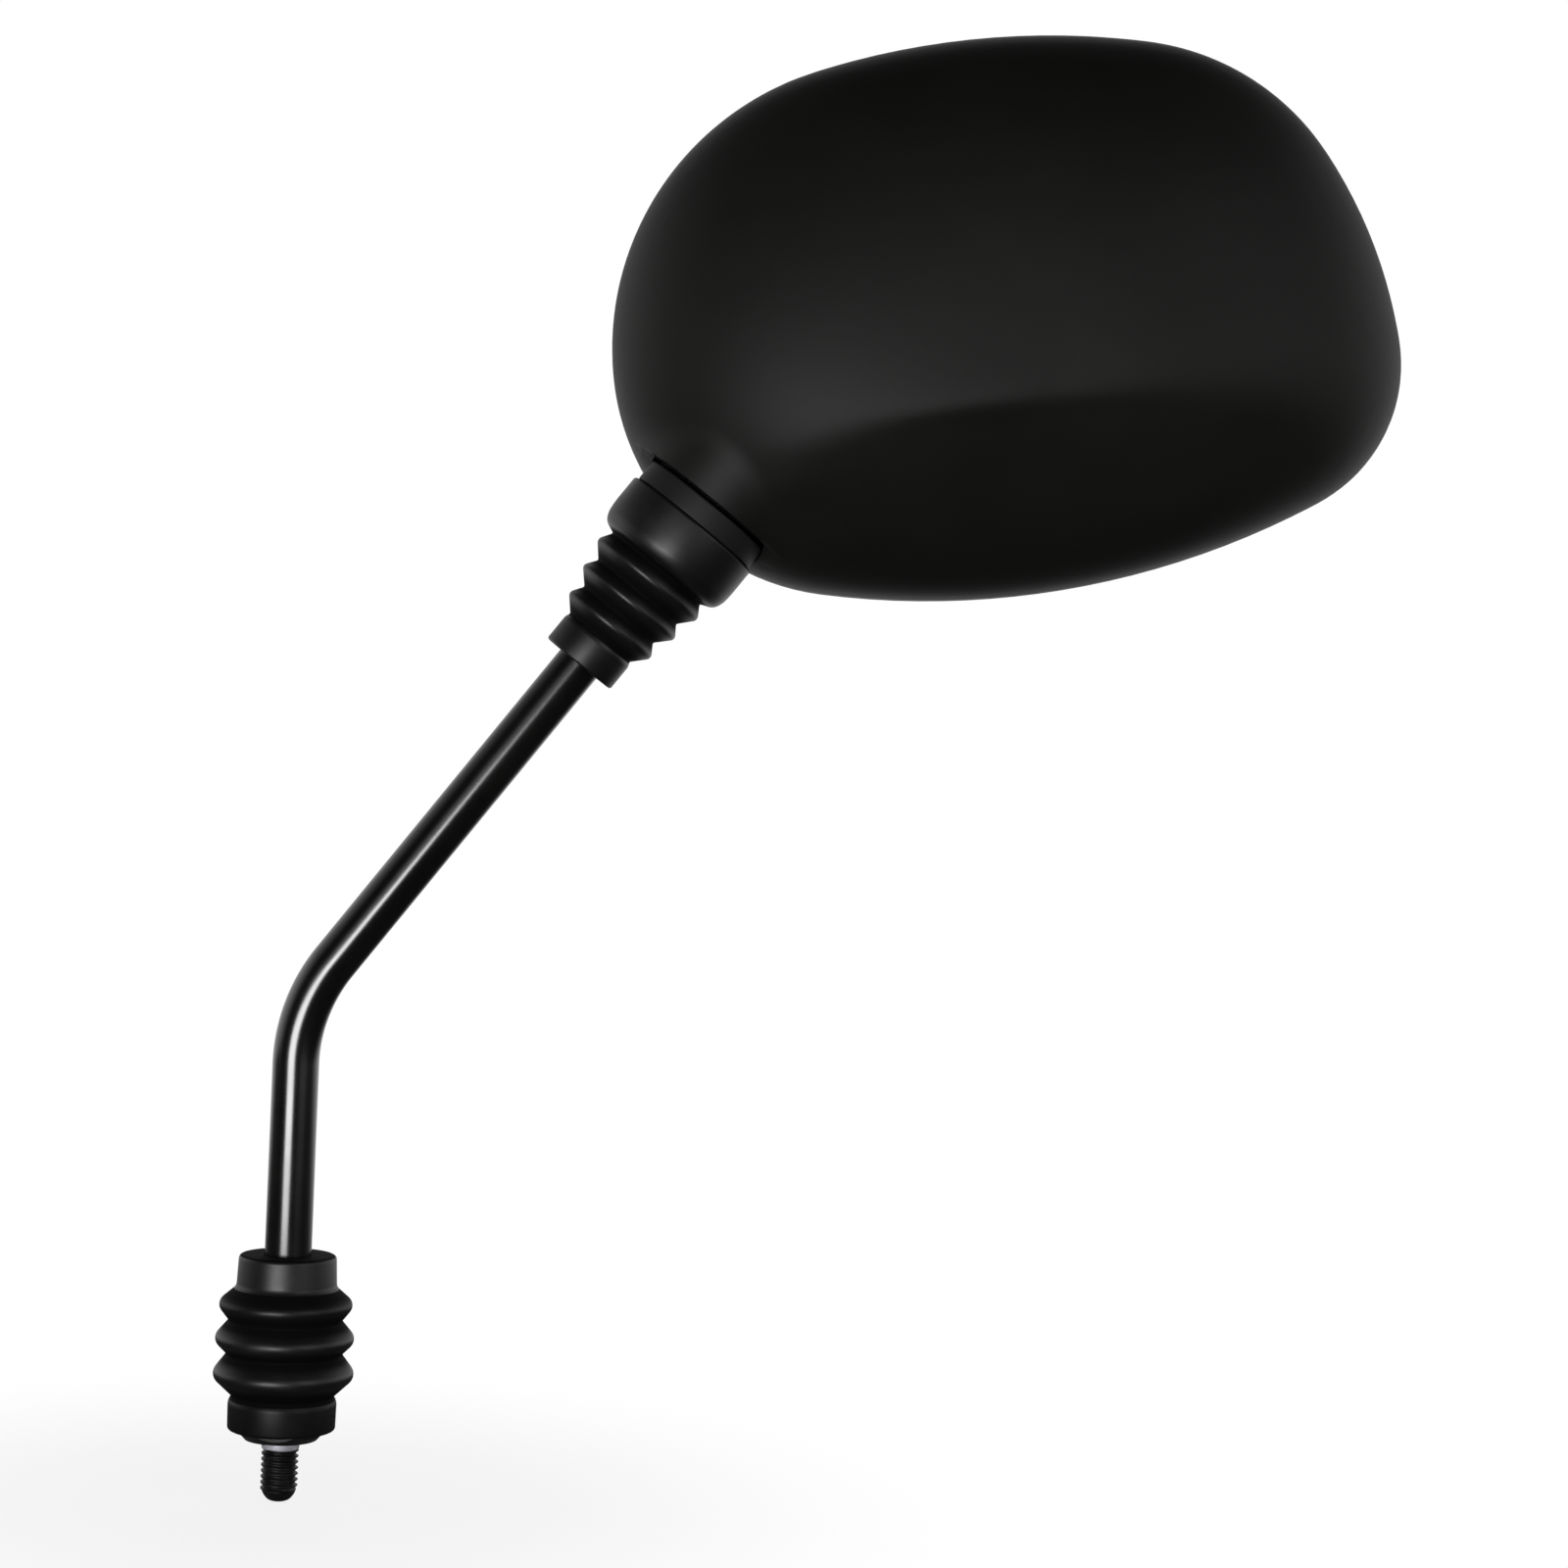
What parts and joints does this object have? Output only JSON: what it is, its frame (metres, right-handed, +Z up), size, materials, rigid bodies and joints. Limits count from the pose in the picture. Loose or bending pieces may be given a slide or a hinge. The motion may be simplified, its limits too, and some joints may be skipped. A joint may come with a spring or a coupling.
{
  "type": "motorcycle mirror",
  "caption": "Handlebar rear-view mirror: rounded black shell with a convex glass on a ball joint, a bent steel stem, rubber bellows boots and a threaded stud.",
  "frame": {"origin": "on the stud's axis, at the adapter's seat face where the stud begins", "axes": "+Z up along the stem's foot, away from the stud; +X towards the head; +Y the way the glass faces"},
  "size_m": [0.2485, 0.0532, 0.3239],
  "materials": {
    "shell_plastic": "fine moulded grain, satin",
    "rim_plastic": "fine moulded grain, satin",
    "ring_plastic": "smooth, satin",
    "gasket_rubber": "matt",
    "mirror_coat": "polished",
    "pad_felt": "soft felt",
    "boot_rubber": "matt moulded rubber",
    "stem_paint": "gloss black paint",
    "ball_steel": "bright turned steel",
    "seat_nylon": "natural nylon",
    "spring_steel": "spring steel",
    "nut_zinc": "zinc plated",
    "adapter_black": "gloss black"
  },
  "bodies": {
    "mount": {"adapter": "adapter_black"},
    "stem": {"stem_rod": "stem_paint", "pivot_ball": "ball_steel", "lock_nut": "nut_zinc", "base_boot": "boot_rubber"},
    "boot": {"neck_boot": "boot_rubber"},
    "seats": {"lower_seat": "seat_nylon", "upper_seat": "seat_nylon"},
    "head": {"housing": "shell_plastic", "glass_bezel": "rim_plastic", "glass_gasket": "gasket_rubber", "mirror_glass": "mirror_coat", "backing_pad": "pad_felt", "neck_ring": "ring_plastic", "thrust_washer": "spring_steel", "disc_spring": "spring_steel"}
  },
  "joints": [
    {"name": "stem_swivel", "type": "hinge", "parent": "mount", "child": "stem", "pos_m": [0, 0, 0], "axis": [0, 0, 1], "range_deg": [-180, 180]},
    {"name": "head_turn", "type": "hinge", "parent": "stem", "child": "boot", "pos_m": [0.08546, 0, 0.20641], "axis": [0.6018, 0, 0.7986], "continuous": true},
    {"name": "head_tilt", "type": "hinge", "parent": "boot", "child": "seats", "pos_m": [0.08546, 0, 0.20641], "axis": [0.7986, 0, -0.6018], "range_deg": [-15, 15], "deforming": ["neck_boot"]},
    {"name": "head_roll", "type": "hinge", "parent": "seats", "child": "head", "pos_m": [0.08546, 0, 0.20641], "axis": [0.6018, 0, 0.7986], "continuous": true}
  ]
}
